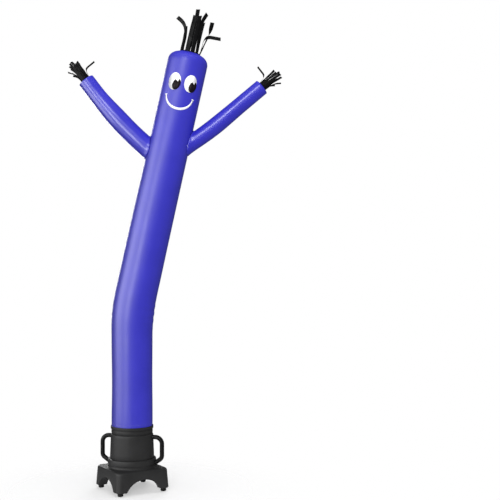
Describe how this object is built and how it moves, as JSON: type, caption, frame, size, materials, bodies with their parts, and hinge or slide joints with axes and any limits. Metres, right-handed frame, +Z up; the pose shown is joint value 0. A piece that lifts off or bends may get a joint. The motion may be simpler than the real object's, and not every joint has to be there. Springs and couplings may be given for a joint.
{
  "type": "inflatable air dancer on blower",
  "caption": "Tall cloth air dancer with raised arms, a smiling sewn-on face and streamers at head and hands, held up by the blower that it stands on.",
  "frame": {"origin": "the middle of the whole object's box, on the ground", "axes": "+Z up, -Y the way the face looks, +X the side that the body leans to"},
  "size_m": [1.368, 0.4692, 3.0674],
  "materials": {
    "blue_cloth": "satin",
    "black_cloth": "satin",
    "white_cloth": "matte",
    "black_patch": "satin",
    "moulded_plastic": "matte",
    "black_plastic": "satin",
    "rubber": "matte",
    "green_plastic": "gloss",
    "nickel": "polished"
  },
  "bodies": {
    "root": {"stand": "moulded_plastic", "fan_drum": "moulded_plastic", "outlet_ring": "black_plastic", "handle_left": "moulded_plastic", "handle_right": "moulded_plastic", "foot_front": "rubber", "foot_right": "rubber", "foot_back": "rubber", "foot_left": "rubber", "control_cover": "moulded_plastic", "switch_frame": "black_plastic", "cable_gland": "nickel", "screw_low_left": "nickel", "screw_low_right": "nickel", "screw_high_left": "nickel", "screw_high_right": "nickel", "body_tube": "blue_cloth", "arm_left": "blue_cloth", "arm_right": "blue_cloth", "hair": "black_cloth", "fringe_left": "black_cloth", "fringe_right": "black_cloth", "eye_left": "white_cloth", "eye_right": "white_cloth", "smile": "white_cloth", "pupil_left": "black_patch", "pupil_right": "black_patch"},
    "rocker": {"rocker": "green_plastic"}
  },
  "joints": [
    {"name": "rocker_tip", "type": "hinge", "parent": "root", "child": "rocker", "pos_m": [-0.24795, 0.1714, 0.2405], "axis": [0, 0, 1], "range_deg": [0, 19.4]}
  ]
}
